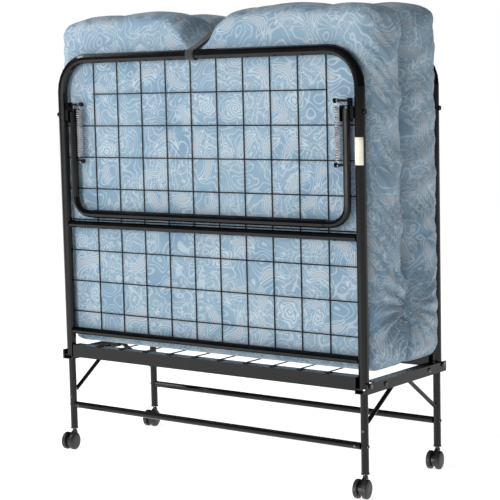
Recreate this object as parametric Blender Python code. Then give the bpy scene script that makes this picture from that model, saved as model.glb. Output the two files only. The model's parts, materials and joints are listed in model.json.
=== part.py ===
"""Folding cot, stored upright.

Two tube-framed decks stand face to face on a four-legged base with casters. Each deck folds
outward about a bolt at its lower end until it is level, and a U-shaped leg swings out of it.
One mattress is folded in a U between the decks. Metres, +Z up, the floor is Z = 0, X runs
along the cot's width, and the front deck is on the -Y side.
"""
import math

import bmesh
import bpy
from mathutils import Matrix, Vector

for old in list(bpy.data.objects):
    bpy.data.objects.remove(old, do_unlink=True)

# ---------------------------------------------------------------- driving dimensions
# Where the decks stand.
RAIL_SPACING = 0.938        # deck side rails, axis to axis
DECK_GAP = 0.332            # front deck to rear deck when folded, axis to axis
PIVOT_HEIGHT = 0.264        # deck pivots above the floor
DECK_REACH = 0.7817         # deck pivot to the axis of the top bar

# Deck frame.
DECK_TUBE_R = 0.0127
DECK_TUBE_WALL = 0.0012
BOW_RADIUS = 0.087          # bend at the deck's outer corners
RAIL_TAIL = 0.006           # rail beyond its pivot
CROSS_TUBE_R = 0.0095
CROSS_TUBE_WALL = 0.0012
LOW_TUBE_AT = 0.060         # lower cross tube above the pivot
MID_TUBE_UNDER = 0.0295     # upper cross tube below the folded leg's foot bar

# Wire mesh.
WIRE = 0.0034
WIRE_PITCH_X = 0.0819
WIRES_ACROSS = 10
WIRES_UP = 8
LOWEST_WIRE_AT = 0.1112
TOP_WIRE_UNDER = 0.093      # highest cross wire below the top bar
BASE_CROSS_WIRES = 3

# Folding leg of each deck.
LEG_PIVOT_UNDER = 0.1447    # leg pivot below the deck's top bar
LEG_SPACING = 0.864
LEG_TUBE_R = 0.0095
LEG_TUBE_WALL = 0.0012
LEG_REACH = 0.261           # leg pivot to the axis of its foot bar
LEG_TAIL = 0.007            # leg tube beyond its pivot
LEG_BEND_RADIUS = 0.044
FOOT_SLEEVE_WALL = 0.0012
FOOT_SLEEVE_HALF = 0.368

# Brackets, bolts and pins.
BRACKET_SHEET = 0.0022
LEG_BRACKET_HALF = 0.010
LEG_BRACKET_BELOW = 0.022   # from the leg pivot down
LEG_BRACKET_WEB = 0.013     # from the leg pivot up to the web
LEG_BRACKET_EAR = 0.032     # from the leg pivot up to the tip that holds the spring pin
LUG_HALF = 0.006
LUG_DROP = 0.015
PIN_R = 0.003
BOLT_HEAD_R = 0.006
BOLT_HEAD_T = 0.0035
NUT_R = 0.0055
NUT_T = 0.005
CLEVIS_HALF = 0.016
CLEVIS_IN_RISE = 0.021      # its inner flange stands higher than its outer one
CLEVIS_OUT_RISE = 0.0065
CLEVIS_SWING_GAP = 0.0018   # under the rail's end as it swings
END_PLATE_T = 0.0025
END_PLATE_DROP = 0.018
END_PLATE_RISE = 0.0065
END_PLATE_OVER = 0.016      # end plate beyond the deck pivot
END_FLANGE_IN = 0.030
END_FLANGE_SHORT = 0.026    # flange ends this far inside the deck pivot

# Leg springs.
UPPER_PIN_UP = 0.026
LOWER_PIN_DOWN = 0.123
SPRING_GAP = 0.0008         # between a spring and its leg bracket
COIL_R = 0.0100
HOOK_R = 0.0016
HOOK_EYE_R = 0.0052
HOOK_RUN = 0.015            # from a pin to the end of the coil
PIN_HEAD_T = 0.004
PIN_HEAD_GAP = 0.006        # from a pin's head to the spring's axis

# Base.
BASE_RAIL_RISE = 0.0215
BASE_RAIL_DEPTH = 0.0325
BASE_RAIL_WIDTH = 0.030
BASE_RAIL_T = 0.0025
BASE_RAIL_OUT = 0.0135      # outer face beyond the deck pivot
BASE_LEG_R = 0.0095
BASE_LEG_WALL = 0.0012
STRETCHER_R = 0.0085
STRETCHER_WALL = 0.0012
STRETCHER_DROP = 0.1444
BRACE_R = 0.0055
BRACE_HEAD_DROP = 0.0076    # where a brace's axis reaches the end plate
SHORT_BRACE_HEAD = 0.040    # from the middle of the end toward the brace's own leg
LONG_BRACE_HEAD = 0.0
SHORT_BRACE_DROP = 0.088    # where a brace's axis reaches its leg, below the deck pivot
LONG_BRACE_DROP = 0.104

# Casters.
WHEEL_R = 0.023
WHEEL_W = 0.038
WHEEL_SPLIT = 0.0124        # gap between the two wheels
AXLE_R = 0.0028
CASTER_TRAIL = 0.019
CASTER_WEB = 0.010
CASTER_WEB_SHORT = 0.007    # the web's round end stays this far inside the wheels' rims
CASTER_YAW = math.radians(10.0)
COLLAR_R = 0.0065
COLLAR_GAP = 0.001          # between the collar and the wheels' rims
COLLAR_T = 0.006
STEM_SHOWS = 0.007          # between the collar and the base leg
STEM_R = 0.004
STEM_IN_LEG = 0.027
SOCKET_FLANGE_R = 0.0105
SOCKET_FLANGE_T = 0.0025
SOCKET_LENGTH = 0.030

# Mattress and strap.
MATTRESS_WIDTH = 0.985
MATTRESS_OVER = 0.1063      # its top above the deck's top bar when folded
MATTRESS_SHIFT = 0.052      # its fold axis inward of and above the deck pivot
MATTRESS_HEEL = 0.0695      # from the fold axis to the lower end of each half
MATTRESS_ROUND = 0.022
DIP_FLOOR_HALF = 0.026
DIP_TOP_HALF = 0.120
STRAP_X = -0.022
STRAP_WIDTH = 0.025
STRAP_T = 0.002
STRAP_RUN = 0.094           # bar axis to where the strap levels out
STRAP_RISE = 0.0563         # level run above the bar axis

# Clearances.
TOUCH = 0.0003
SIDE_PLAY = 0.0005
SOFT_GAP = 0.001
AXLE_PLAY = 0.0003
HEEL_GAP = 0.002            # between the mattress's middle block and its halves

# ---------------------------------------------------------------- derived sizes
RAIL_X = RAIL_SPACING / 2
DECK_Y = DECK_GAP / 2
LEG_X = LEG_SPACING / 2
RAIL_IN = RAIL_X - DECK_TUBE_R
CLEVIS_DROP = math.hypot(RAIL_TAIL, DECK_TUBE_R) + CLEVIS_SWING_GAP + BRACKET_SHEET
CLEVIS_IN_HIGH = RAIL_IN - SIDE_PLAY
CLEVIS_IN_LOW = CLEVIS_IN_HIGH - BRACKET_SHEET
CLEVIS_OUT_LOW = RAIL_X + DECK_TUBE_R + SIDE_PLAY
CLEVIS_OUT_HIGH = CLEVIS_OUT_LOW + BRACKET_SHEET
PLATE_IN = CLEVIS_OUT_HIGH + TOUCH
PLATE_OUT = PLATE_IN + END_PLATE_T
MESH_LOW = CROSS_TUBE_R + TOUCH                 # mesh offset from the deck plane
MESH_HIGH = MESH_LOW + WIRE
WIRE_PITCH_Z = (DECK_REACH - TOP_WIRE_UNDER - LOWEST_WIRE_AT) / (WIRES_UP - 1)
LEG_PIVOT_AT = DECK_REACH - LEG_PIVOT_UNDER
MID_TUBE_AT = LEG_PIVOT_AT - LEG_REACH - MID_TUBE_UNDER
SPRING_X = LEG_X - LEG_TUBE_R - SIDE_PLAY - BRACKET_SHEET - SPRING_GAP - COIL_R
MATTRESS_OFFSET = max(MESH_HIGH, DECK_TUBE_R) + SOFT_GAP
MATTRESS_SIDE = DECK_Y - MATTRESS_OFFSET - HEEL_GAP     # half the depth of the middle block
MATTRESS_TOP = DECK_REACH + MATTRESS_OVER               # above the deck pivot
FOOT_SLEEVE_R = LEG_TUBE_R + TOUCH + FOOT_SLEEVE_WALL
# The folding leg stands out from the deck plane by what its foot sleeve needs to clear the mesh.
LEG_OUT = FOOT_SLEEVE_R - CROSS_TUBE_R
# The collar stands just clear of the wheels' rims, and the leg a short way above it.
COLLAR_LOW = WHEEL_R + math.sqrt((WHEEL_R + COLLAR_GAP) ** 2 - (CASTER_TRAIL - COLLAR_R) ** 2)
COLLAR_TOP = COLLAR_LOW + COLLAR_T
BASE_LEG_FOOT = COLLAR_TOP + STEM_SHOWS
HEAD_OUT = PLATE_OUT + TOUCH + BOLT_HEAD_T
# Half of a twin wheel's turned outline, as (along the axle, radius).
WHEEL_OUTLINE = [(WHEEL_SPLIT / 2, AXLE_R), (WHEEL_SPLIT / 2, WHEEL_R - 0.001),
                 (WHEEL_SPLIT / 2 + 0.0015, WHEEL_R), (WHEEL_W / 2 - 0.0040, WHEEL_R),
                 (WHEEL_W / 2 - 0.0015, WHEEL_R - 0.003), (WHEEL_W / 2, WHEEL_R * 0.55),
                 (WHEEL_W / 2, 0)]
WHEEL_AHEAD = max(math.cos(CASTER_YAW) * (CASTER_TRAIL + r) + math.sin(CASTER_YAW) * a
                  for a, r in WHEEL_OUTLINE)
WHEEL_ASIDE = max(math.sin(CASTER_YAW) * (CASTER_TRAIL + r) + math.cos(CASTER_YAW) * a
                  for a, r in WHEEL_OUTLINE)
FRONT_REACH = DECK_Y + WHEEL_AHEAD
REAR_REACH = DECK_Y + max(CLEVIS_HALF, END_PLATE_OVER)
LEFT_REACH = max(HEAD_OUT, MATTRESS_WIDTH / 2)
RIGHT_REACH = max(LEFT_REACH, RAIL_X + WHEEL_ASIDE)
CENTRE_X = (LEFT_REACH - RIGHT_REACH) / 2
CENTRE_Y = (FRONT_REACH - REAR_REACH) / 2


# ---------------------------------------------------------------- materials
def material(name, colour, roughness, metallic=0.0):
    mat = bpy.data.materials.new(name)
    mat.use_nodes = True
    shader = mat.node_tree.nodes["Principled BSDF"]
    shader.inputs["Base Color"].default_value = (*colour, 1.0)
    shader.inputs["Roughness"].default_value = roughness
    shader.inputs["Metallic"].default_value = metallic
    return mat


FRAME_BLACK = material("frame_black", (0.012, 0.012, 0.014), 0.32)
WIRE_BLACK = material("wire_black", (0.012, 0.013, 0.018), 0.40)
BOLT_BLACK = material("bolt_black", (0.020, 0.020, 0.022), 0.35, 0.6)
SPRING_ZINC = material("spring_zinc", (0.62, 0.64, 0.66), 0.30, 1.0)
CASTER_BLACK = material("caster_black", (0.022, 0.022, 0.024), 0.45)
WHEEL_BLACK = material("wheel_black", (0.028, 0.028, 0.030), 0.50)
SOCKET_BLACK = material("socket_black", (0.020, 0.020, 0.020), 0.50)
TICKING_BLUE = material("ticking_blue", (0.40, 0.52, 0.62), 0.75)
STRAP_BLACK = material("strap_black", (0.015, 0.015, 0.016), 0.80)


# ---------------------------------------------------------------- shape helpers
def finish(name, bm, mat, place=(0, 0, 0), parent=None, smooth=True, turn=0.0):
    """Turn a bmesh into an object whose origin is at place."""
    bmesh.ops.recalc_face_normals(bm, faces=bm.faces[:])
    mesh = bpy.data.meshes.new(name)
    bm.to_mesh(mesh)
    bm.free()
    if smooth:
        mesh.shade_smooth()
        mesh.set_sharp_from_angle(angle=math.radians(35))
    mesh.materials.append(mat)
    obj = bpy.data.objects.new(name, mesh)
    bpy.context.scene.collection.objects.link(obj)
    obj.location = place
    obj.rotation_euler = (0, 0, turn)
    obj.parent = parent
    return obj


def empty(name, place, turn=0.0, parent=None):
    obj = bpy.data.objects.new(name, None)
    bpy.context.scene.collection.objects.link(obj)
    obj.location = place
    obj.rotation_euler = (0, 0, turn)
    obj.parent = parent
    return obj


def combine(obj, other, operation):
    """Leave a Boolean on obj and hide its other operand."""
    other.hide_render = True
    other.display_type = 'WIRE'
    mod = obj.modifiers.new(other.name, 'BOOLEAN')
    mod.operation = operation
    mod.solver = 'EXACT'
    mod.object = other


def box(bm, low, high):
    verts = []
    for x in (low[0], high[0]):
        for y in (low[1], high[1]):
            for z in (low[2], high[2]):
                verts.append(bm.verts.new((x, y, z)))
    for ids in ((0, 1, 3, 2), (4, 6, 7, 5), (0, 4, 5, 1), (2, 3, 7, 6), (0, 2, 6, 4), (1, 5, 7, 3)):
        bm.faces.new([verts[i] for i in ids])


def prism(bm, outline, axis, start, end):
    """Extrude a closed outline along axis. The outline lies in the other two axes, in order."""
    others = [i for i in range(3) if i != axis]
    rings = []
    for at in (start, end):
        ring = []
        for u, v in outline:
            co = [0.0, 0.0, 0.0]
            co[axis] = at
            co[others[0]] = u
            co[others[1]] = v
            ring.append(bm.verts.new(co))
        rings.append(ring)
    count = len(outline)
    for i in range(count):
        j = (i + 1) % count
        bm.faces.new((rings[0][i], rings[0][j], rings[1][j], rings[1][i]))
    bm.faces.new(rings[0])
    bm.faces.new(rings[1])


def lathe(bm, profile, axis, sides, closed=False, centre=(0, 0, 0), phase=0.0):
    """Turn (along, radius) points about axis. A closed profile makes a sleeve."""
    others = [i for i in range(3) if i != axis]
    rings = []
    for along, radius in profile:
        ring = []
        count = 1 if radius == 0 else sides
        for k in range(count):
            angle = phase + 2 * math.pi * k / sides
            co = [0.0, 0.0, 0.0]
            co[axis] = along
            co[others[0]] = radius * math.cos(angle)
            co[others[1]] = radius * math.sin(angle)
            ring.append(bm.verts.new(Vector(co) + Vector(centre)))
        rings.append(ring)
    last = len(rings) if closed else len(rings) - 1
    for i in range(last):
        a = rings[i]
        b = rings[(i + 1) % len(rings)]
        for k in range(sides):
            n = (k + 1) % sides
            if len(a) == 1:
                bm.faces.new((a[0], b[k], b[n]))
            elif len(b) == 1:
                bm.faces.new((a[k], a[n], b[0]))
            else:
                bm.faces.new((a[k], a[n], b[n], b[k]))


def rounded_path(corners, radius, steps):
    """Corner points joined by straight runs, each inner corner bent at radius."""
    path = [Vector(corners[0])]
    for before, corner, after in zip(corners, corners[1:], corners[2:]):
        corner = Vector(corner)
        back = (Vector(before) - corner).normalized()
        ahead = (Vector(after) - corner).normalized()
        half = back.angle(ahead) / 2
        setback = radius / math.tan(half)
        centre = corner + (back + ahead).normalized() * (radius / math.sin(half))
        start = corner + back * setback - centre
        turn = math.pi - 2 * half
        spin = start.cross(corner + ahead * setback - centre).normalized()
        for k in range(steps + 1):
            path.append(centre + Matrix.Rotation(turn * k / steps, 3, spin) @ start)
    path.append(Vector(corners[-1]))
    return path


def sweep(bm, path, radius, sides, normal, wall=0.0):
    """A tube or a solid rod along a path that lies in the plane across normal."""
    normal = Vector(normal)
    walls = [radius, radius - wall] if wall else [radius]
    skins = []
    for r in walls:
        rings = []
        for i, point in enumerate(path):
            ahead = path[min(i + 1, len(path) - 1)] - path[max(i - 1, 0)]
            side = ahead.normalized().cross(normal)
            ring = []
            for k in range(sides):
                angle = 2 * math.pi * (k + 0.5) / sides
                offset = side * math.cos(angle) + normal * math.sin(angle)
                ring.append(bm.verts.new(point + offset * r))
            rings.append(ring)
        for a, b in zip(rings, rings[1:]):
            for k in range(sides):
                n = (k + 1) % sides
                bm.faces.new((a[k], a[n], b[n], b[k]))
        skins.append(rings)
    for end in (0, -1):
        if wall:
            for k in range(sides):
                n = (k + 1) % sides
                outer = skins[0][end]
                inner = skins[1][end]
                bm.faces.new((outer[k], outer[n], inner[n], inner[k]))
        else:
            bm.faces.new(skins[0][end])


def tube(bm, start, end, radius, sides, normal, wall=0.0):
    sweep(bm, [Vector(start), Vector(end)], radius, sides, normal, wall)


def lattice(bm, plane, uprights, levels, low, high):
    """A flat wire grid as one solid. Each wire is (centre, start, end) in its own direction."""
    half = WIRE / 2
    us = set()
    vs = set()
    for centre, start, end in uprights:
        us.update((centre - half, centre + half))
        vs.update((start, end))
    for centre, start, end in levels:
        vs.update((centre - half, centre + half))
        us.update((start, end))
    us = sorted(us)
    vs = sorted(vs)
    filled = set()
    for i in range(len(us) - 1):
        for j in range(len(vs) - 1):
            u = (us[i] + us[i + 1]) / 2
            v = (vs[j] + vs[j + 1]) / 2
            on_upright = any(abs(u - c) < half and a < v < b for c, a, b in uprights)
            on_level = any(abs(v - c) < half and a < u < b for c, a, b in levels)
            if on_upright or on_level:
                filled.add((i, j))
    verts = {}

    def vert(i, j, side):
        key = (i, j, side)
        if key not in verts:
            depth = high if side else low
            u = us[i]
            v = vs[j]
            co = (u, depth, v) if plane == 'XZ' else (u, v, depth)
            verts[key] = bm.verts.new(co)
        return verts[key]

    for i, j in sorted(filled):
        corners = ((i, j), (i + 1, j), (i + 1, j + 1), (i, j + 1))
        for side in (0, 1):
            bm.faces.new([vert(a, b, side) for a, b in corners])
        neighbours = ((i, j - 1), (i + 1, j), (i, j + 1), (i - 1, j))
        for k, near in enumerate(neighbours):
            if near not in filled:
                a = corners[k]
                b = corners[(k + 1) % 4]
                bm.faces.new((vert(*a, 0), vert(*b, 0), vert(*b, 1), vert(*a, 1)))


def spaced(count, pitch):
    return [(k - (count - 1) / 2) * pitch for k in range(count)]


def bore(name, radius, x_low, x_high, y, z, place=(0, 0, 0), parent=None, sides=12):
    """A cutter along X."""
    bm = bmesh.new()
    lathe(bm, [(x_low, 0), (x_low, radius), (x_high, radius), (x_high, 0)], 0, sides,
          centre=(0, y, z))
    return finish(name, bm, BOLT_BLACK, place, parent)


# ---------------------------------------------------------------- deck and what it carries
def spring(name, x, parent):
    """A closed coil envelope with a hook at each end. Its origin is on the upper pin."""
    length = UPPER_PIN_UP + LOWER_PIN_DOWN
    bm = bmesh.new()
    lathe(bm, [(-HOOK_RUN, 0), (-HOOK_RUN, COIL_R), (-length + HOOK_RUN, COIL_R),
               (-length + HOOK_RUN, 0)], 2, 14, centre=(x, 0, 0))
    place = (0, -LEG_OUT, LEG_PIVOT_AT + UPPER_PIN_UP)
    body = finish(name, bm, SPRING_ZINC, place, parent)
    for label, pin_z, sign in (("upper", 0.0, 1), ("lower", -length, -1)):
        points = [Vector((x, 0, pin_z - sign * (HOOK_RUN + HOOK_R)))]
        for k in range(11):
            angle = math.radians(-90 + 30 * k)
            points.append(Vector((x, HOOK_EYE_R * math.cos(angle),
                                  pin_z + sign * HOOK_EYE_R * math.sin(angle))))
        bm = bmesh.new()
        sweep(bm, points, HOOK_R, 6, (1, 0, 0))
        hook = finish(f"{name}_{label}_hook", bm, SPRING_ZINC, place, parent)
        combine(body, hook, 'UNION')
    return body


def headed_pin(name, side, root, place, parent):
    """A pin along X from root to just past the spring, with a head that keeps the spring on."""
    tip = SPRING_X - PIN_HEAD_GAP - PIN_HEAD_T
    profile = [(tip, 0), (tip, BOLT_HEAD_R), (tip + PIN_HEAD_T, BOLT_HEAD_R),
               (tip + PIN_HEAD_T, PIN_R), (root, PIN_R), (root, 0)]
    bm = bmesh.new()
    lathe(bm, [(side * x, r) for x, r in profile], 0, 12)
    return finish(name, bm, BOLT_BLACK, place, parent)


def leg_bracket(name, side, parent):
    """Bent bracket between rail and leg, with the leg's through bolt and the upper spring pin."""
    inner = LEG_X - LEG_TUBE_R - SIDE_PLAY
    outer = LEG_X + LEG_TUBE_R + SIDE_PLAY
    inner_out = inner - BRACKET_SHEET
    outer_out = outer + BRACKET_SHEET
    outline = [(inner_out, -LEG_BRACKET_BELOW), (inner, -LEG_BRACKET_BELOW),
               (inner, LEG_BRACKET_WEB), (outer, LEG_BRACKET_WEB), (outer, -LEG_BRACKET_BELOW),
               (outer_out, -LEG_BRACKET_BELOW), (outer_out, LEG_BRACKET_EAR),
               (outer, LEG_BRACKET_EAR), (outer, LEG_BRACKET_WEB + BRACKET_SHEET),
               (inner_out, LEG_BRACKET_WEB + BRACKET_SHEET)]
    place = (0, -LEG_OUT, LEG_PIVOT_AT)
    bm = bmesh.new()
    prism(bm, [(side * x, z) for x, z in outline], 1, -LEG_BRACKET_HALF, LEG_BRACKET_HALF)
    body = finish(name, bm, FRAME_BLACK, place, parent, smooth=False)
    lug_end = RAIL_IN - TOUCH
    lug_start = (outer + outer_out) / 2
    bm = bmesh.new()
    box(bm, (min(side * lug_start, side * lug_end), -LUG_HALF, -LUG_DROP),
        (max(side * lug_start, side * lug_end), LUG_HALF, LEG_BRACKET_WEB))
    lug = finish(f"{name}_lug", bm, FRAME_BLACK, place, parent)
    combine(body, lug, 'UNION')
    head_low = RAIL_X + DECK_TUBE_R + TOUCH
    bolt_end = (inner + inner_out) / 2
    bolt = [(bolt_end, 0), (bolt_end, PIN_R), (head_low, PIN_R), (head_low, BOLT_HEAD_R),
            (head_low + BOLT_HEAD_T, BOLT_HEAD_R), (head_low + BOLT_HEAD_T, 0)]
    bm = bmesh.new()
    lathe(bm, [(side * x, r) for x, r in bolt], 0, 12)
    shank = finish(f"{name}_bolt", bm, BOLT_BLACK, place, parent)
    combine(body, shank, 'UNION')
    spring_pin = headed_pin(f"{name}_pin", side, lug_start,
                            (0, -LEG_OUT, LEG_PIVOT_AT + UPPER_PIN_UP), parent)
    combine(body, spring_pin, 'UNION')
    return body


def build_deck(label, centre, turn, strap_x):
    """One deck in its own frame: origin on the pivot axis, -Y outward, +Z along the rails."""
    pivot = empty(f"{label}_deck_pivot", centre, turn)
    reach = DECK_REACH
    corners = [(-RAIL_X, 0, -RAIL_TAIL), (-RAIL_X, 0, reach), (RAIL_X, 0, reach),
               (RAIL_X, 0, -RAIL_TAIL)]
    bm = bmesh.new()
    sweep(bm, rounded_path(corners, BOW_RADIUS, 7), DECK_TUBE_R, 12, (0, 1, 0), DECK_TUBE_WALL)
    frame = finish(f"{label}_deck_frame", bm, FRAME_BLACK, parent=pivot)
    wide = RAIL_X + 2 * DECK_TUBE_R
    low_bore = bore(f"{label}_pivot_bore", PIN_R + TOUCH, -wide, wide, 0, 0, parent=pivot)
    combine(frame, low_bore, 'DIFFERENCE')
    high_bore = bore(f"{label}_leg_bore", PIN_R + TOUCH, -wide, wide, -LEG_OUT, LEG_PIVOT_AT,
                     parent=pivot)
    combine(frame, high_bore, 'DIFFERENCE')

    tube_end = RAIL_IN - TOUCH
    for part, at in (("mid", MID_TUBE_AT), ("low", LOW_TUBE_AT)):
        bm = bmesh.new()
        tube(bm, (-tube_end, 0, 0), (tube_end, 0, 0), CROSS_TUBE_R, 10, (0, 1, 0),
             CROSS_TUBE_WALL)
        finish(f"{label}_deck_{part}_tube", bm, FRAME_BLACK, (0, 0, at), pivot)

    # The grid lies on the mattress side of the cross tubes. Its wires end at the frame's tube.
    behind = math.sqrt(DECK_TUBE_R ** 2 - MESH_LOW ** 2) + TOUCH
    xs = spaced(WIRES_ACROSS, WIRE_PITCH_X)
    zs = [LOWEST_WIRE_AT + k * WIRE_PITCH_Z for k in range(WIRES_UP)]
    uprights = [(x, LOW_TUBE_AT - CROSS_TUBE_R, reach - behind) for x in xs]
    levels = [(z, -RAIL_X + behind, RAIL_X - behind) for z in zs[:-1]]
    levels.append((zs[-1], xs[0] - WIRE / 2, xs[-1] + WIRE / 2))
    bm = bmesh.new()
    lattice(bm, 'XZ', uprights, levels, MESH_LOW, MESH_HIGH)
    finish(f"{label}_deck_mesh", bm, WIRE_BLACK, parent=pivot, smooth=False)

    # Folding leg: a bent tube that turns on the leg brackets, and a sleeve over its foot.
    place = (0, -LEG_OUT, LEG_PIVOT_AT)
    foot = -LEG_REACH
    corners = [(-LEG_X, 0, LEG_TAIL), (-LEG_X, 0, foot), (LEG_X, 0, foot), (LEG_X, 0, LEG_TAIL)]
    bm = bmesh.new()
    sweep(bm, rounded_path(corners, LEG_BEND_RADIUS, 5), LEG_TUBE_R, 10, (0, 1, 0),
          LEG_TUBE_WALL)
    leg = finish(f"{label}_leg_frame", bm, FRAME_BLACK, place, pivot)
    leg_bore = bore(f"{label}_eye_bore", PIN_R + TOUCH, -RAIL_X, RAIL_X, 0, 0, place, pivot)
    combine(leg, leg_bore, 'DIFFERENCE')
    for side, hand in ((-1, "left"), (1, "right")):
        low_pin = headed_pin(f"{label}_leg_pin_{hand}", side, LEG_X - LEG_TUBE_R + LEG_TUBE_WALL,
                             (0, -LEG_OUT, LEG_PIVOT_AT - LOWER_PIN_DOWN), pivot)
        combine(leg, low_pin, 'UNION')

    inner = LEG_TUBE_R + TOUCH
    bm = bmesh.new()
    sleeve = [(-FOOT_SLEEVE_HALF, inner), (-FOOT_SLEEVE_HALF, FOOT_SLEEVE_R),
              (FOOT_SLEEVE_HALF, FOOT_SLEEVE_R), (FOOT_SLEEVE_HALF, inner)]
    lathe(bm, sleeve, 0, 10, closed=True, centre=(0, 0, foot))
    finish(f"{label}_foot_sleeve", bm, FRAME_BLACK, place, pivot)

    for side, hand in ((-1, "left"), (1, "right")):
        leg_bracket(f"{label}_leg_bracket_{hand}", side, pivot)
        spring(f"{label}_spring_{hand}", side * SPRING_X, pivot)

    # Strap: round the top bar, up to the valley in the mattress, level to the middle.
    ring = DECK_TUBE_R + TOUCH
    spine = []
    for k in range(6):
        angle = math.radians(180 - 12 * k)
        spine.append(Vector((0, math.cos(angle), math.sin(angle))) * ring
                     + Vector((0, 0, reach)))
    spine.append(Vector((0, STRAP_RUN, reach + STRAP_RISE)))
    spine.append(Vector((0, DECK_Y - SOFT_GAP / 2, reach + STRAP_RISE + 0.003)))
    upper = []
    for i, point in enumerate(spine):
        ahead = (spine[min(i + 1, len(spine) - 1)] - spine[max(i - 1, 0)]).normalized()
        upper.append(point + Vector((0, -ahead.z, ahead.y)) * STRAP_T)
    outline = [(p.y, p.z) for p in spine] + [(p.y, p.z) for p in reversed(upper)]
    bm = bmesh.new()
    prism(bm, outline, 0, strap_x - STRAP_WIDTH / 2, strap_x + STRAP_WIDTH / 2)
    finish(f"{label}_strap", bm, STRAP_BLACK, parent=pivot, smooth=False)
    return pivot


front = build_deck("front", (CENTRE_X, CENTRE_Y - DECK_Y, PIVOT_HEIGHT), 0.0, STRAP_X)
rear = build_deck("rear", (CENTRE_X, CENTRE_Y + DECK_Y, PIVOT_HEIGHT), math.pi, -STRAP_X)

# ---------------------------------------------------------------- base
base = empty("base_frame", (CENTRE_X, CENTRE_Y, PIVOT_HEIGHT))

for sign, hand in ((-1, "front"), (1, "rear")):
    outer = sign * (DECK_Y + BASE_RAIL_OUT)
    inner = outer - sign * BASE_RAIL_WIDTH
    thick = outer - sign * BASE_RAIL_T
    low = BASE_RAIL_RISE - BASE_RAIL_DEPTH
    under = BASE_RAIL_RISE - BASE_RAIL_T
    outline = [(outer, low), (outer, BASE_RAIL_RISE), (inner, BASE_RAIL_RISE), (inner, under),
               (thick, under), (thick, low)]
    half = CLEVIS_IN_LOW - TOUCH
    bm = bmesh.new()
    prism(bm, outline, 0, -half, half)
    finish(f"base_rail_{hand}", bm, FRAME_BLACK, parent=base, smooth=False)

    half = RAIL_X - BASE_LEG_R - TOUCH
    bm = bmesh.new()
    tube(bm, (-half, 0, 0), (half, 0, 0), STRETCHER_R, 12, (0, 1, 0), STRETCHER_WALL)
    finish(f"stretcher_{hand}", bm, FRAME_BLACK, (0, sign * DECK_Y, -STRETCHER_DROP), base)

# Wire mesh of the base, lying on the two rails.
edge = DECK_Y + BASE_RAIL_OUT - SOFT_GAP
xs = spaced(WIRES_ACROSS, WIRE_PITCH_X)
ys = spaced(BASE_CROSS_WIRES, WIRE_PITCH_Z)
bm = bmesh.new()
lattice(bm, 'XY', [(x, -edge, edge) for x in xs],
        [(y, xs[0] - WIRE / 2, xs[-1] + WIRE / 2) for y in ys],
        BASE_RAIL_RISE + TOUCH, BASE_RAIL_RISE + TOUCH + WIRE)
finish("base_mesh", bm, WIRE_BLACK, parent=base, smooth=False)

for side, hand in ((-1, "left"), (1, "right")):
    # End plate: an angle whose flange stops short of the deck rails.
    long = DECK_Y + END_PLATE_OVER
    short = DECK_Y - END_FLANGE_SHORT
    bm = bmesh.new()
    box(bm, (min(side * PLATE_IN, side * PLATE_OUT), -long, -END_PLATE_DROP),
        (max(side * PLATE_IN, side * PLATE_OUT), long, END_PLATE_RISE))
    plate = finish(f"end_plate_{hand}", bm, FRAME_BLACK, parent=base, smooth=False)
    tip = PLATE_OUT - END_FLANGE_IN
    mid = (PLATE_IN + PLATE_OUT) / 2
    bm = bmesh.new()
    box(bm, (min(side * tip, side * mid), -short, END_PLATE_RISE - END_PLATE_T),
        (max(side * tip, side * mid), short, END_PLATE_RISE))
    flange = finish(f"end_flange_{hand}", bm, FRAME_BLACK, parent=base, smooth=False)
    combine(plate, flange, 'UNION')
    for sign in (-1, 1):
        hole = bore(f"end_plate_bore_{hand}_{sign + 1}", PIN_R + TOUCH, -1.0, 1.0,
                    sign * DECK_Y, 0, parent=base)
        combine(plate, hole, 'DIFFERENCE')

    # A short and a long brace from the legs up to the inside of the plate. They lean out to it.
    for sign, depth in ((-1, "front"), (1, "rear")):
        if side * sign < 0:
            drop = SHORT_BRACE_DROP
            head_in = SHORT_BRACE_HEAD
        else:
            drop = LONG_BRACE_DROP
            head_in = LONG_BRACE_HEAD
        leg_face = DECK_Y - BASE_LEG_R
        slope = math.atan2(drop - BRACE_HEAD_DROP, leg_face - head_in)
        overhang = BRACE_R * math.sin(slope) + 2 * TOUCH
        foot = Vector((side * RAIL_X, sign * (leg_face - overhang), -drop))
        head = Vector((side * (PLATE_IN - BRACE_R - 2 * TOUCH), sign * (head_in + overhang),
                       -BRACE_HEAD_DROP))
        bm = bmesh.new()
        tube(bm, foot, head, BRACE_R, 10, (1, 0, 0))
        finish(f"brace_{depth}_{hand}", bm, FRAME_BLACK, parent=base)

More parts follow.
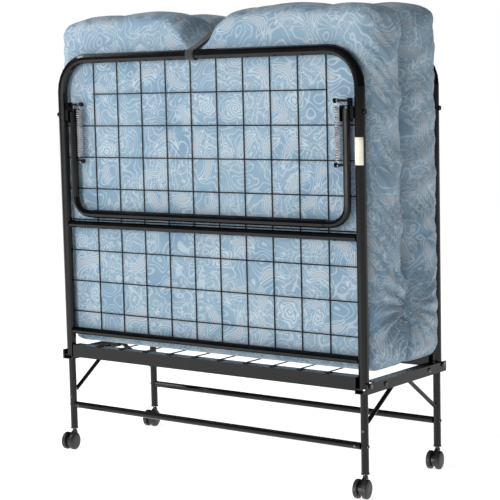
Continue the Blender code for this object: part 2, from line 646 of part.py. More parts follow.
# ---------------------------------------------------------------- four corners of the base
for sign, depth in ((-1, "front"), (1, "rear")):
    for side, hand in ((-1, "left"), (1, "right")):
        corner = f"{depth}_{hand}"
        y = sign * DECK_Y

        # Clevis that holds the deck rail, over the leg.
        under = BRACKET_SHEET - CLEVIS_DROP
        outline = [(CLEVIS_IN_LOW, CLEVIS_IN_RISE), (CLEVIS_IN_LOW, -CLEVIS_DROP),
                   (CLEVIS_OUT_HIGH, -CLEVIS_DROP), (CLEVIS_OUT_HIGH, CLEVIS_OUT_RISE),
                   (CLEVIS_OUT_LOW, CLEVIS_OUT_RISE), (CLEVIS_OUT_LOW, under),
                   (CLEVIS_IN_HIGH, under), (CLEVIS_IN_HIGH, CLEVIS_IN_RISE)]
        bm = bmesh.new()
        prism(bm, [(side * x, z) for x, z in outline], 1, y - CLEVIS_HALF, y + CLEVIS_HALF)
        clevis = finish(f"clevis_{corner}", bm, FRAME_BLACK, parent=base, smooth=False)
        hole = bore(f"clevis_bore_{corner}", PIN_R + TOUCH, -1.0, 1.0, y, 0, parent=base)
        combine(clevis, hole, 'DIFFERENCE')

        head_low = PLATE_OUT + TOUCH
        nut_high = CLEVIS_IN_LOW - TOUCH
        bolt = [(nut_high - NUT_T, 0), (nut_high - NUT_T, NUT_R), (nut_high, NUT_R),
                (nut_high, PIN_R), (head_low, PIN_R), (head_low, BOLT_HEAD_R),
                (head_low + BOLT_HEAD_T, BOLT_HEAD_R), (head_low + BOLT_HEAD_T, 0)]
        bm = bmesh.new()
        lathe(bm, [(side * x, r) for x, r in bolt], 0, 12)
        finish(f"pivot_bolt_{corner}", bm, BOLT_BLACK, (0, y, 0), base)

        # Leg, its caster socket, and the caster.
        spot = (CENTRE_X + side * RAIL_X, CENTRE_Y + y, 0)
        leg_top = PIVOT_HEIGHT - CLEVIS_DROP - TOUCH
        bm = bmesh.new()
        tube(bm, (0, 0, BASE_LEG_FOOT), (0, 0, leg_top), BASE_LEG_R, 12, (0, 1, 0),
             BASE_LEG_WALL)
        finish(f"base_leg_{corner}", bm, FRAME_BLACK, spot)

        inner = STEM_R + TOUCH
        outer = BASE_LEG_R - BASE_LEG_WALL - TOUCH
        flange_top = BASE_LEG_FOOT - TOUCH
        flange_low = flange_top - SOCKET_FLANGE_T
        sleeve = [(flange_low, inner), (flange_low, SOCKET_FLANGE_R),
                  (flange_top, SOCKET_FLANGE_R), (flange_top, outer),
                  (flange_top + SOCKET_LENGTH, outer), (flange_top + SOCKET_LENGTH, inner)]
        bm = bmesh.new()
        lathe(bm, sleeve, 2, 12, closed=True, phase=math.radians(15))
        finish(f"caster_socket_{corner}", bm, SOCKET_BLACK, spot)

        # Caster body: a web between the wheels, a collar over it and a stem.
        web_r = WHEEL_R - CASTER_WEB_SHORT
        web = [(-COLLAR_R, (COLLAR_LOW + COLLAR_TOP) / 2), (COLLAR_R, (COLLAR_LOW + COLLAR_TOP) / 2),
               (COLLAR_R, COLLAR_LOW - COLLAR_R)]
        for k in range(11):
            a = math.radians(15 - 24 * k)
            web.append((web_r * math.cos(a) - CASTER_TRAIL, WHEEL_R + web_r * math.sin(a)))
        bm = bmesh.new()
        prism(bm, web, 0, -CASTER_WEB / 2, CASTER_WEB / 2)
        body = finish(f"caster_body_{corner}", bm, CASTER_BLACK, spot, smooth=False,
                      turn=CASTER_YAW)
        stem_top = BASE_LEG_FOOT + STEM_IN_LEG
        stem = [(COLLAR_LOW, 0), (COLLAR_LOW, COLLAR_R), (COLLAR_TOP, COLLAR_R),
                (COLLAR_TOP, STEM_R), (stem_top, STEM_R), (stem_top, 0)]
        bm = bmesh.new()
        lathe(bm, stem, 2, 12, phase=math.radians(15))
        post = finish(f"caster_stem_{corner}", bm, CASTER_BLACK, spot)
        combine(body, post, 'UNION')
        hole = bore(f"caster_bore_{corner}", AXLE_R + AXLE_PLAY, -WHEEL_W, WHEEL_W,
                    -CASTER_TRAIL, WHEEL_R, spot, sides=12)
        hole.rotation_euler = (0, 0, CASTER_YAW)
        combine(body, hole, 'DIFFERENCE')

        # Twin wheels on one axle.
        profile = [(-a, r) for a, r in reversed(WHEEL_OUTLINE)] + WHEEL_OUTLINE
        axle_at = Matrix.Rotation(CASTER_YAW, 3, 'Z') @ Vector((0, -CASTER_TRAIL, 0))
        bm = bmesh.new()
        lathe(bm, profile, 0, 20, phase=math.radians(-90))
        finish(f"caster_wheels_{corner}", bm, WHEEL_BLACK,
               (spot[0] + axle_at.x, spot[1] + axle_at.y, WHEEL_R), turn=CASTER_YAW)

# ---------------------------------------------------------------- mattress
# Its halves turn about their own axis, so that they slide along the decks as the cot opens.
face = DECK_Y - MATTRESS_OFFSET
fold = DECK_Y - MATTRESS_SHIFT
for sign, depth in ((-1, "front"), (1, "rear")):
    axis = (CENTRE_X, CENTRE_Y + sign * fold, PIVOT_HEIGHT + MATTRESS_SHIFT)
    near = sign * (SOFT_GAP - fold)
    far = sign * (face - fold)
    top = MATTRESS_TOP - MATTRESS_SHIFT
    bm = bmesh.new()
    box(bm, (-MATTRESS_WIDTH / 2, min(near, far), MATTRESS_HEEL),
        (MATTRESS_WIDTH / 2, max(near, far), top))
    half = finish(f"mattress_{depth}", bm, TICKING_BLUE, axis)
    soften = half.modifiers.new("soften", 'BEVEL')
    soften.width = MATTRESS_ROUND
    soften.segments = 2
    soften.limit_method = 'ANGLE'
    # The strap's dip across the top: its floor follows the strap at a small gap.
    bar_y = sign * MATTRESS_SHIFT
    bar_z = DECK_REACH - MATTRESS_SHIFT
    floor = [(bar_y - sign * 0.010, bar_z + DECK_TUBE_R - 0.016),
             (bar_y - sign * STRAP_RUN, bar_z + STRAP_RISE - 2 * SOFT_GAP),
             (bar_y - sign * (DECK_Y + 0.010), bar_z + STRAP_RISE - SOFT_GAP)]
    bm = bmesh.new()
    rows = []
    for y, z in floor:
        rows.append([bm.verts.new((STRAP_X - DIP_FLOOR_HALF, y, z)),
                     bm.verts.new((STRAP_X + DIP_FLOOR_HALF, y, z)),
                     bm.verts.new((STRAP_X + DIP_TOP_HALF, y, top + 0.02)),
                     bm.verts.new((STRAP_X - DIP_TOP_HALF, y, top + 0.02))])
    for a, b in zip(rows, rows[1:]):
        for k in range(4):
            n = (k + 1) % 4
            bm.faces.new((a[k], a[n], b[n], b[k]))
    bm.faces.new(rows[0])
    bm.faces.new(rows[-1])
    dip = finish(f"mattress_dip_{depth}", bm, TICKING_BLUE, axis)
    combine(half, dip, 'DIFFERENCE')

# The middle block lies on the base mesh. Its shoulders are round about the halves' fold axes.
heel_round = MATTRESS_HEEL - HEEL_GAP
rest = BASE_RAIL_RISE + TOUCH + WIRE + TOUCH
edge_angle = math.acos((MATTRESS_SIDE - fold) / heel_round)
arc = [edge_angle + (math.pi / 2 - edge_angle) * k / 3 for k in range(4)]
outline = [(fold + heel_round * math.cos(a), MATTRESS_SHIFT + heel_round * math.sin(a))
           for a in arc]
outline += [(-y, z) for y, z in reversed(outline)]
outline += [(-MATTRESS_SIDE, rest + MATTRESS_ROUND), (-MATTRESS_SIDE + MATTRESS_ROUND, rest),
            (MATTRESS_SIDE - MATTRESS_ROUND, rest), (MATTRESS_SIDE, rest + MATTRESS_ROUND)]
bm = bmesh.new()
prism(bm, outline, 0, -MATTRESS_WIDTH / 2, MATTRESS_WIDTH / 2)
finish("mattress_middle", bm, TICKING_BLUE, parent=base, smooth=False)
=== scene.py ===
import json
import math

import bmesh
import bpy
import numpy as np
from mathutils import Matrix, Vector


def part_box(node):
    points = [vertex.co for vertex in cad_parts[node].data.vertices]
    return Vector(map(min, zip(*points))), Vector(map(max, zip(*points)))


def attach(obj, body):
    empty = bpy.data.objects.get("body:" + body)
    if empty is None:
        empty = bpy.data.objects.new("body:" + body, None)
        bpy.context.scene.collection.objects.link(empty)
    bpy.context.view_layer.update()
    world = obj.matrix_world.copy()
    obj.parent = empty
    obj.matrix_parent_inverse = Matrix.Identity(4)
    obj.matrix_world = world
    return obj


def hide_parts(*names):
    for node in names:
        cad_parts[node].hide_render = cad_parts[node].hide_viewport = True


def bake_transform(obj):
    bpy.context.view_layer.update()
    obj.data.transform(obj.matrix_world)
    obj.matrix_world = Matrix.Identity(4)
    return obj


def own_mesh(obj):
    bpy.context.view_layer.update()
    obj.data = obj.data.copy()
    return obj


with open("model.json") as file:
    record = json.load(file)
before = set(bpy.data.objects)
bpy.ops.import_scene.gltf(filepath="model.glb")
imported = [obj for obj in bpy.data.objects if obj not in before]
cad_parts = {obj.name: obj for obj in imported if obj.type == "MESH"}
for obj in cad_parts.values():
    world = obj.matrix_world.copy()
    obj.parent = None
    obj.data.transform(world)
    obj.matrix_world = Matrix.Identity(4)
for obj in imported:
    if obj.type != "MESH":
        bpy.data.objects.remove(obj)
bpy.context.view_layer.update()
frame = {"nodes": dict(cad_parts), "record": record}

# ---------------------------------------------------------------- where the cot stands
# The two decks, the base and the folding legs all sit about a few lines: the deck pivots, the
# middle of the frame, and the leg pivots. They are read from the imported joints.
joints = {j["name"]: j for j in frame["record"]["behaviour"]["joints"]}
front_pivot = Vector(joints["front_deck_fold"]["pos_m"])
rear_pivot = Vector(joints["rear_deck_fold"]["pos_m"])
middle = (front_pivot + rear_pivot) / 2
deck_half_gap = (rear_pivot.y - front_pivot.y) / 2
pivot_z = middle.z
scene = bpy.context.scene

# ---------------------------------------------------------------- camera, floor and light
# A long lens stands at the cot's right front corner, level with the middle of the mattress,
# and is rolled very slightly.
yaw, pitch, roll = (math.radians(a) for a in (-37.40, -6.089, 1.311))
ahead = Vector((math.sin(yaw) * math.cos(pitch), math.cos(yaw) * math.cos(pitch),
                math.sin(pitch)))
across = Vector((math.cos(yaw), -math.sin(yaw), 0))
down = ahead.cross(across)
rolled_across = across * math.cos(roll) + down * math.sin(roll)
rolled_down = down * math.cos(roll) - across * math.sin(roll)
lens = bpy.data.cameras.new("studio_camera")
lens.sensor_width = 36.0
lens.lens = 110.6
camera = bpy.data.objects.new("studio_camera", lens)
scene.collection.objects.link(camera)
turn = Matrix((rolled_across, -rolled_down, -ahead)).transposed().to_4x4()
stand = (middle.x + 2.4052, middle.y - 3.1240, pivot_z + 0.7008)
camera.matrix_world = Matrix.Translation(stand) @ turn
scene.camera = camera
scene.view_settings.view_transform = "Standard"

floor_mesh = bpy.data.meshes.new("studio_floor")
reach = 40.0
floor_mesh.from_pydata([(-reach, -reach, 0), (reach, -reach, 0), (reach, reach, 0),
                        (-reach, reach, 0)], [], [(0, 1, 2, 3)])
studio_floor = bpy.data.objects.new("studio_floor", floor_mesh)
scene.collection.objects.link(studio_floor)

world = bpy.data.worlds.new("studio_world")
world.use_nodes = True
sky = world.node_tree
seen = sky.nodes.new("ShaderNodeBackground")
seen.inputs["Color"].default_value = (1.0, 1.0, 1.0, 1.0)
seen.inputs["Strength"].default_value = 1.0
fill = sky.nodes["Background"]
fill.inputs["Color"].default_value = (1.0, 1.0, 1.0, 1.0)
fill.inputs["Strength"].default_value = 0.30
mirrored = sky.nodes.new("ShaderNodeBackground")
mirrored.inputs["Color"].default_value = (1.0, 1.0, 1.0, 1.0)
mirrored.inputs["Strength"].default_value = 0.06
# White where the camera looks, a soft fill on cloth, and a dark room in the gloss of the tubes.
rays = sky.nodes.new("ShaderNodeLightPath")
gloss = sky.nodes.new("ShaderNodeMixShader")
choose = sky.nodes.new("ShaderNodeMixShader")
sky.links.new(rays.outputs["Is Glossy Ray"], gloss.inputs[0])
sky.links.new(fill.outputs[0], gloss.inputs[1])
sky.links.new(mirrored.outputs[0], gloss.inputs[2])
sky.links.new(rays.outputs["Is Camera Ray"], choose.inputs[0])
sky.links.new(gloss.outputs[0], choose.inputs[1])
sky.links.new(seen.outputs[0], choose.inputs[2])
sky.links.new(choose.outputs[0], sky.nodes["World Output"].inputs["Surface"])
scene.world = world


def softbox(name, place, target, wide, high, watts, in_gloss=True, in_diffuse=True):
    """A rectangular studio light that faces its target."""
    light = bpy.data.lights.new(name, "AREA")
    light.shape = "RECTANGLE"
    light.size = wide
    light.size_y = high
    light.energy = watts
    lamp = bpy.data.objects.new(name, light)
    scene.collection.objects.link(lamp)
    lamp.location = place
    lamp.rotation_euler = (Vector(target) - Vector(place)).to_track_quat("-Z", "Y").to_euler()
    lamp.visible_glossy = in_gloss
    lamp.visible_diffuse = in_diffuse


softbox("key_light", (-1.1, -4.2, 1.9), (0, 0, 0.6), 1.2, 2.2, 112, in_gloss=False)
softbox("strip_light", (0.1, -4.6, 1.2), (0, 0, 0.6), 0.34, 2.6, 120, in_diffuse=False)
softbox("top_left_light", (-3.2, -1.6, 2.9), (0, 0, 0.8), 1.0, 1.0, 50)
softbox("side_light", (3.6, 1.2, 1.5), (0, 0, 0.6), 0.3, 2.4, 3)


# ---------------------------------------------------------------- powder-coated frame
# Steel tube, flat bar and angle, welded or bolted, then sprayed with semi-gloss black powder
# that bakes to a faint orange-peel skin. It wears a little thinner along bends and ends.
class Field:
    """A value or a vector somewhere in a material, with the usual sums on it."""

    def __init__(self, kit, socket):
        self.kit = kit
        self.socket = socket

    def maths(self, operation, *others):
        return self.kit.node("ShaderNodeMath", [self, *others], operation=operation)

    def __add__(self, other):
        return self.maths("ADD", other)

    def __radd__(self, other):
        return self.maths("ADD", other)

    def __sub__(self, other):
        return self.maths("SUBTRACT", other)

    def __rsub__(self, other):
        return self.kit.node("ShaderNodeMath", [other, self], operation="SUBTRACT")

    def __mul__(self, other):
        return self.maths("MULTIPLY", other)

    def __rmul__(self, other):
        return self.maths("MULTIPLY", other)

    def __truediv__(self, other):
        return self.maths("DIVIDE", other)

    def __rtruediv__(self, other):
        return self.kit.node("ShaderNodeMath", [other, self], operation="DIVIDE")

    def __abs__(self):
        return self.maths("ABSOLUTE")

    def ramp(self, low, high, to_low=0.0, to_high=1.0):
        """Smoothly from to_low at low to to_high at high."""
        return self.kit.node("ShaderNodeMapRange", [self, low, high, to_low, to_high],
                             interpolation_type="SMOOTHSTEP")

    def part(self, name):
        """Another output of the same node."""
        return Field(self.kit, self.socket.node.outputs[name])


class Finish:
    """One material, and the nodes that feed its shader."""

    def __init__(self, name, **fixed):
        self.material = bpy.data.materials.new(name)
        self.material.use_nodes = True
        self.tree = self.material.node_tree
        self.shader = self.tree.nodes["Principled BSDF"]
        for key, value in fixed.items():
            self.shader.inputs[key.replace("_", " ")].default_value = value

    def node(self, kind, inputs=(), output=0, **settings):
        made = self.tree.nodes.new(kind)
        for key, value in settings.items():
            if key == "stops":
                while len(made.color_ramp.elements) < len(value):
                    made.color_ramp.elements.new(0.5)
                for element, (at, colour) in zip(made.color_ramp.elements, value):
                    element.position = at
                    element.color = colour
            else:
                setattr(made, key, value)
        pairs = inputs.items() if isinstance(inputs, dict) else enumerate(inputs)
        for key, value in pairs:
            if isinstance(value, Field):
                self.tree.links.new(value.socket, made.inputs[key])
            elif value is not None:
                made.inputs[key].default_value = value
        return Field(self, made.outputs[output])

    def coords(self, kind="Object"):
        return self.node("ShaderNodeTexCoord", output=kind)

    def noise(self, at, scale, detail=2.0, rough=0.5):
        return self.node("ShaderNodeTexNoise",
                         {"Vector": at, "Scale": scale, "Detail": detail, "Roughness": rough})

    def blend(self, amount, first, second):
        """Mix two colours."""
        made = self.node("ShaderNodeMix", data_type="RGBA", output=2)
        owner = made.socket.node
        for index, value in ((0, amount), (6, first), (7, second)):
            if isinstance(value, Field):
                self.tree.links.new(value.socket, owner.inputs[index])
            elif index:
                owner.inputs[index].default_value = (*value, 1.0)
            else:
                owner.inputs[index].default_value = value
        return made

    def bump(self, height, distance, strength=1.0, over=None):
        made = {"Height": height, "Distance": distance, "Strength": strength}
        if over is not None:
            made["Normal"] = over
        return self.node("ShaderNodeBump", made)

    def feed(self, **links):
        for key, value in links.items():
            self.tree.links.new(value.socket, self.shader.inputs[key.replace("_", " ")])


powder = Finish("powder_coat_black", Specular_IOR_Level=0.30)
place = powder.coords()
peel = powder.noise(place, 900.0, 2.0)
patch = powder.noise(place, 14.0, 3.0)
dust = powder.noise(place, 160.0, 4.0, 0.7)
powder.feed(Base_Color=powder.blend(patch.ramp(0.35, 0.75), (0.0016, 0.0016, 0.0019),
                                    (0.0034, 0.0034, 0.0040)),
            Roughness=patch * 0.06 + dust * 0.05 + 0.12,
            Normal=powder.bump(peel, 0.00010, 0.25))

wire_coat = Finish("wire_coat_black", Specular_IOR_Level=0.22)
place = wire_coat.coords()
patch = wire_coat.noise(place, 60.0, 3.0)
wire_coat.feed(Base_Color=wire_coat.blend(patch.ramp(0.3, 0.7), (0.0015, 0.0020, 0.0034),
                                          (0.0032, 0.0040, 0.0064)),
               Roughness=patch * 0.16 + 0.24,
               Normal=wire_coat.bump(wire_coat.noise(place, 700.0), 0.0001, 0.4))


def coat(finish, *names):
    for name in names:
        node = frame["nodes"][name]
        for index in range(len(node.material_slots)):
            node.material_slots[index].material = finish.material


corners = [f"{depth}_{hand}" for depth in ("front", "rear") for hand in ("left", "right")]
sides = ("front", "rear")
for side in sides:
    coat(powder, f"base_rail_{side}", f"stretcher_{side}", f"{side}_deck_frame",
         f"{side}_deck_mid_tube", f"{side}_deck_low_tube", f"{side}_leg_frame",
         f"{side}_foot_sleeve", f"{side}_leg_bracket_left", f"{side}_leg_bracket_right")
coat(powder, "end_plate_left", "end_plate_right")
for corner in corners:
    coat(powder, f"base_leg_{corner}", f"brace_{corner}", f"clevis_{corner}")

# ---------------------------------------------------------------- welded wire mesh
# Straight 3.4 mm wires, the long ones behind and the cross ones in front, spot-welded where they
# cross and dipped black. One panel for each deck and one on the base.


def new_tree(name, inputs):
    """A Geometry Nodes tree with named sizes."""
    tree = bpy.data.node_groups.new(name, "GeometryNodeTree")
    for label, kind in inputs:
        tree.interface.new_socket(label, in_out="INPUT", socket_type=kind)
    tree.interface.new_socket("Geometry", in_out="OUTPUT", socket_type="NodeSocketGeometry")
    return tree


def bake(name, tree, values, body, place=Matrix.Identity(4)):
    """Run a tree on an empty mesh, keep its result as a plain piece at the origin."""
    holder = bpy.data.objects.new(name + "_maker", bpy.data.meshes.new(name + "_maker"))
    scene.collection.objects.link(holder)
    maker = holder.modifiers.new("maker", "NODES")
    maker.node_group = tree
    for item in tree.interface.items_tree:
        if item.in_out == "INPUT" and item.name in values:
            maker[item.identifier] = values[item.name]
    graph = bpy.context.evaluated_depsgraph_get()
    mesh = bpy.data.meshes.new_from_object(holder.evaluated_get(graph), depsgraph=graph)
    bpy.data.objects.remove(holder, do_unlink=True)
    mesh.transform(place)
    mesh.name = name
    piece = bpy.data.objects.new(name, mesh)
    scene.collection.objects.link(piece)
    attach(piece, body)
    return piece


def wire_row_tree(finish):
    """Parallel round wires along X, stepped along Y."""
    tree = new_tree("wire_row", [("Count", "NodeSocketInt"), ("Pitch", "NodeSocketFloat"),
                                 ("Length", "NodeSocketFloat"), ("Radius", "NodeSocketFloat")])
    nodes = tree.nodes
    link = tree.links.new
    sizes = nodes.new("NodeGroupInput")
    out = nodes.new("NodeGroupOutput")
    rod = nodes.new("GeometryNodeMeshCylinder")
    rod.inputs["Vertices"].default_value = 8
    link(sizes.outputs["Radius"], rod.inputs["Radius"])
    link(sizes.outputs["Length"], rod.inputs["Depth"])
    lay = nodes.new("GeometryNodeTransform")
    lay.inputs["Rotation"].default_value = (0, math.pi / 2, 0)
    link(rod.outputs["Mesh"], lay.inputs["Geometry"])
    row = nodes.new("GeometryNodeMeshLine")
    link(sizes.outputs["Count"], row.inputs["Count"])
    step = nodes.new("ShaderNodeCombineXYZ")
    link(sizes.outputs["Pitch"], step.inputs["Y"])
    link(step.outputs[0], row.inputs["Offset"])
    put = nodes.new("GeometryNodeInstanceOnPoints")
    link(row.outputs["Mesh"], put.inputs["Points"])
    link(lay.outputs["Geometry"], put.inputs["Instance"])
    real = nodes.new("GeometryNodeRealizeInstances")
    link(put.outputs["Instances"], real.inputs["Geometry"])
    paint = nodes.new("GeometryNodeSetMaterial")
    paint.inputs["Material"].default_value = finish.material
    link(real.outputs["Geometry"], paint.inputs["Geometry"])
    link(paint.outputs["Geometry"], out.inputs["Geometry"])
    return tree


wire_row = wire_row_tree(wire_coat)
wire_r = 0.0017
wire_pitch_x = 0.0819
wire_pitch_z = 0.0825
weld_sink = 0.0002          # how far crossing wires sink into each other at a weld


def smooth(piece, degrees=35):
    piece.data.shade_smooth()
    piece.data.set_sharp_from_angle(angle=math.radians(degrees))


for side in sides:
    outward = -1 if side == "front" else 1
    low, high = (Vector(c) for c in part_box(f"{side}_deck_mesh"))
    mid_x = (low.x + high.x) / 2
    # The CAD panel's depth holds both layers: long wires behind, cross wires in front of them.
    centre_y = (low.y + high.y) / 2
    long_y = centre_y - outward * (wire_r - weld_sink) / 2
    cross_y = centre_y + outward * (wire_r - weld_sink) / 2
    tall = high.z - low.z
    place = Matrix.Translation((mid_x - 4.5 * wire_pitch_x, long_y, (low.z + high.z) / 2))
    place = place @ Matrix(((0, 1, 0, 0), (0, 0, 1, 0), (1, 0, 0, 0), (0, 0, 0, 1)))
    piece = bake(f"{side}_long_wires", wire_row, {"Count": 10, "Pitch": wire_pitch_x,
                 "Length": tall, "Radius": wire_r * 0.9}, f"{side}_deck", place)
    smooth(piece)
    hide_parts(f"{side}_deck_mesh")
    bottom = pivot_z + 0.1112
    place = Matrix.Translation((mid_x, cross_y, bottom))
    place = place @ Matrix(((1, 0, 0, 0), (0, 0, -1, 0), (0, 1, 0, 0), (0, 0, 0, 1)))
    piece = bake(f"{side}_cross_wires", wire_row, {"Count": 7, "Pitch": wire_pitch_z,
                 "Length": high.x - low.x, "Radius": wire_r * 0.9}, f"{side}_deck",
                 place)
    smooth(piece)
    place = Matrix.Translation((mid_x, cross_y, bottom + 7 * wire_pitch_z))
    place = place @ Matrix(((1, 0, 0, 0), (0, 0, -1, 0), (0, 1, 0, 0), (0, 0, 0, 1)))
    piece = bake(f"{side}_top_cross_wire", wire_row, {"Count": 1, "Pitch": wire_pitch_z,
                 "Length": 9 * wire_pitch_x + 0.006, "Radius": wire_r * 0.9}, f"{side}_deck",
                 place)
    smooth(piece)

low, high = (Vector(c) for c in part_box("base_mesh"))
mid_z = (low.z + high.z) / 2
place = Matrix.Translation((middle.x - 4.5 * wire_pitch_x, middle.y, mid_z))
place = place @ Matrix(((0, 1, 0, 0), (1, 0, 0, 0), (0, 0, -1, 0), (0, 0, 0, 1)))
piece = bake("base_long_wires", wire_row, {"Count": 10, "Pitch": wire_pitch_x,
             "Length": high.y - low.y, "Radius": wire_r * 0.97}, "base", place)
smooth(piece)
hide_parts("base_mesh")
piece = bake("base_cross_wires", wire_row, {"Count": 3, "Pitch": wire_pitch_z,
             "Length": high.x - low.x, "Radius": wire_r * 0.97}, "base",
             Matrix.Translation((middle.x, middle.y - wire_pitch_z, mid_z)))
smooth(piece)

# ---------------------------------------------------------------- bolts, screws and rivets
# Dark oxide pan-head bolts at the pivots and along the end plates, with a bright worn centre.
# The small ones only join fixed parts, so they are made here and ride on the base.
bolt = Finish("bolt_dark", Metallic=1.0)
place = bolt.coords()
scuff = bolt.noise(place, 420.0, 3.0, 0.6)
bolt.feed(Base_Color=bolt.blend(scuff.ramp(0.45, 0.62), (0.035, 0.035, 0.04),
                                (0.32, 0.33, 0.35)),
          Roughness=scuff * 0.25 + 0.22,
          Normal=bolt.bump(bolt.noise(place, 1500.0), 0.0001, 0.3))
for corner in corners:
    coat(bolt, f"pivot_bolt_{corner}")


def pan_head(name, spots, direction, radius, height, body):
    """Domed heads with a cross recess's shallow ring, at each spot, facing direction."""
    bm = bmesh.new()
    axis = Vector(direction).normalized()
    spin = axis.to_track_quat("Z", "Y").to_matrix().to_4x4()
    profile = [(0.0, 0.98), (0.35, 1.0), (0.70, 0.88), (0.92, 0.60), (1.0, 0.34), (0.86, 0.26),
               (0.80, 0.12)]
    count = 16
    for spot in spots:
        move = Matrix.Translation(spot) @ spin
        rings = []
        for up, wide in profile:
            ring = []
            for k in range(count):
                a = 2 * math.pi * k / count
                ring.append(bm.verts.new(move @ Vector((radius * wide * math.cos(a),
                                                        radius * wide * math.sin(a),
                                                        height * up))))
            rings.append(ring)
        for a, b in zip(rings, rings[1:]):
            for k in range(count):
                n = (k + 1) % count
                bm.faces.new((a[k], a[n], b[n], b[k]))
        bm.faces.new(list(reversed(rings[0])))
        bm.faces.new(rings[-1])
    mesh = bpy.data.meshes.new(name)
    bm.to_mesh(mesh)
    bm.free()
    mesh.materials.append(bolt.material)
    piece = bpy.data.objects.new(name, mesh)
    scene.collection.objects.link(piece)
    smooth(piece, 50)
    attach(piece, body)
    return piece


low, high = (Vector(c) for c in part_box("stretcher_front"))
stretcher_z = (low.z + high.z) / 2
stretcher_r = (high.z - low.z) / 2
head_sink = 0.0004          # heads are seated this far into the round tubes
for sx, hand in ((-1, "left"), (1, "right")):
    low, high = (Vector(c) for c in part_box(f"end_plate_{hand}"))
    face = low.x if sx < 0 else high.x
    spots = [(face, middle.y + at, pivot_z - 0.004) for at in (-0.100, 0.100)]
    pan_head(f"end_plate_screws_{hand}", spots, (sx, 0, 0), 0.0062, 0.0034, "base")
    for side in sides:
        sy = -1 if side == "front" else 1
        low, high = (Vector(c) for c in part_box(f"base_leg_{side}_{hand}"))
        leg_x = (low.x + high.x) / 2
        leg_y = (low.y + high.y) / 2
        leg_face = (high.x - low.x) / 2 - head_sink
        # A screw through each leg into the end of its stretcher, and one through the stretcher.
        pan_head(f"stretcher_screw_{side}_{hand}", [(leg_x + sx * leg_face, leg_y, stretcher_z)],
                 (sx, 0, 0), 0.0050, 0.0026, "base")
        pan_head(f"stretcher_rivet_{side}_{hand}",
                 [(leg_x - sx * 0.024, leg_y + sy * (stretcher_r - head_sink), stretcher_z)],
                 (0, sy, 0), 0.0040, 0.0020, "base")
        # One from outside through each leg into the foot of its brace.
        low, high = (Vector(c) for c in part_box(f"brace_{side}_{hand}"))
        pan_head(f"brace_screw_{side}_{hand}", [(leg_x, leg_y + sy * leg_face, low.z - 0.014)],
                 (0, sy, 0), 0.0044, 0.0022, "base")

# ---------------------------------------------------------------- leg springs
# Close-wound zinc-plated tension springs with a hook at each end, hung between a pin on the
# leg bracket and a pin on the folding leg. They hold each leg folded, and open.
zinc = Finish("spring_zinc_wire", Metallic=1.0)
place = zinc.coords()
tarnish = zinc.noise(place, 55.0, 3.0)
zinc.feed(Base_Color=zinc.blend(tarnish.ramp(0.3, 0.75), (0.34, 0.35, 0.37), (0.60, 0.61, 0.63)),
          Roughness=tarnish * 0.2 + 0.22,
          Normal=zinc.bump(zinc.noise(place, 1200.0), 0.0001, 0.3))

coil_tree = new_tree("coil_spring", [("Coil Length", "NodeSocketFloat"),
                                     ("Coil Radius", "NodeSocketFloat"),
                                     ("Turns", "NodeSocketFloat"),
                                     ("Wire Radius", "NodeSocketFloat")])
nodes = coil_tree.nodes
link = coil_tree.links.new
sizes = nodes.new("NodeGroupInput")
spiral = nodes.new("GeometryNodeCurveSpiral")
spiral.inputs["Resolution"].default_value = 12
link(sizes.outputs["Turns"], spiral.inputs["Rotations"])
link(sizes.outputs["Coil Radius"], spiral.inputs["Start Radius"])
link(sizes.outputs["Coil Radius"], spiral.inputs["End Radius"])
link(sizes.outputs["Coil Length"], spiral.inputs["Height"])
ring = nodes.new("GeometryNodeCurvePrimitiveCircle")
ring.inputs["Resolution"].default_value = 6
link(sizes.outputs["Wire Radius"], ring.inputs["Radius"])
skin = nodes.new("GeometryNodeCurveToMesh")
skin.inputs["Fill Caps"].default_value = True
link(spiral.outputs["Curve"], skin.inputs["Curve"])
link(ring.outputs["Curve"], skin.inputs["Profile Curve"])
real = nodes.new("GeometryNodeRealizeInstances")
link(skin.outputs["Mesh"], real.inputs["Geometry"])
paint = nodes.new("GeometryNodeSetMaterial")
paint.inputs["Material"].default_value = zinc.material
link(real.outputs["Geometry"], paint.inputs["Geometry"])
out = nodes.new("NodeGroupOutput")
link(paint.outputs["Geometry"], out.inputs["Geometry"])

spring_length = 0.149       # pin to pin
hook_run = 0.013
spring_wire = 0.0013


def hook_curve(bm, top, sign, eye):
    """A wire eye round a pin at top, joined to the coil's end below or above it."""
    points = [Vector((-0.0084, 0, top - sign * (hook_run + 0.0005))),
              Vector((-0.0060, 0, top - sign * (hook_run - 0.0035))),
              Vector((0, 0, top - sign * (eye + 0.0030)))]
    for k in range(15):
        a = math.radians(-90 + 20 * k)
        points.append(Vector((0, eye * math.cos(a), top + sign * eye * math.sin(a))))
    rings = []
    for i, point in enumerate(points):
        run = points[min(i + 1, len(points) - 1)] - points[max(i - 1, 0)]
        side_way = run.normalized().cross(Vector((1, 0, 0)))
        if side_way.length < 0.2:
            side_way = run.normalized().cross(Vector((0, 1, 0)))
        side_way.normalize()
        other = run.normalized().cross(side_way)
        ring_verts = []
        for k in range(8):
            a = 2 * math.pi * k / 8
            ring_verts.append(bm.verts.new(point + (side_way * math.cos(a)
                                                    + other * math.sin(a)) * spring_wire))
        rings.append(ring_verts)
    for a, b in zip(rings, rings[1:]):
        for k in range(8):
            n = (k + 1) % 8
            bm.faces.new((a[k], a[n], b[n], b[k]))
    bm.faces.new(rings[0])
    bm.faces.new(rings[-1])


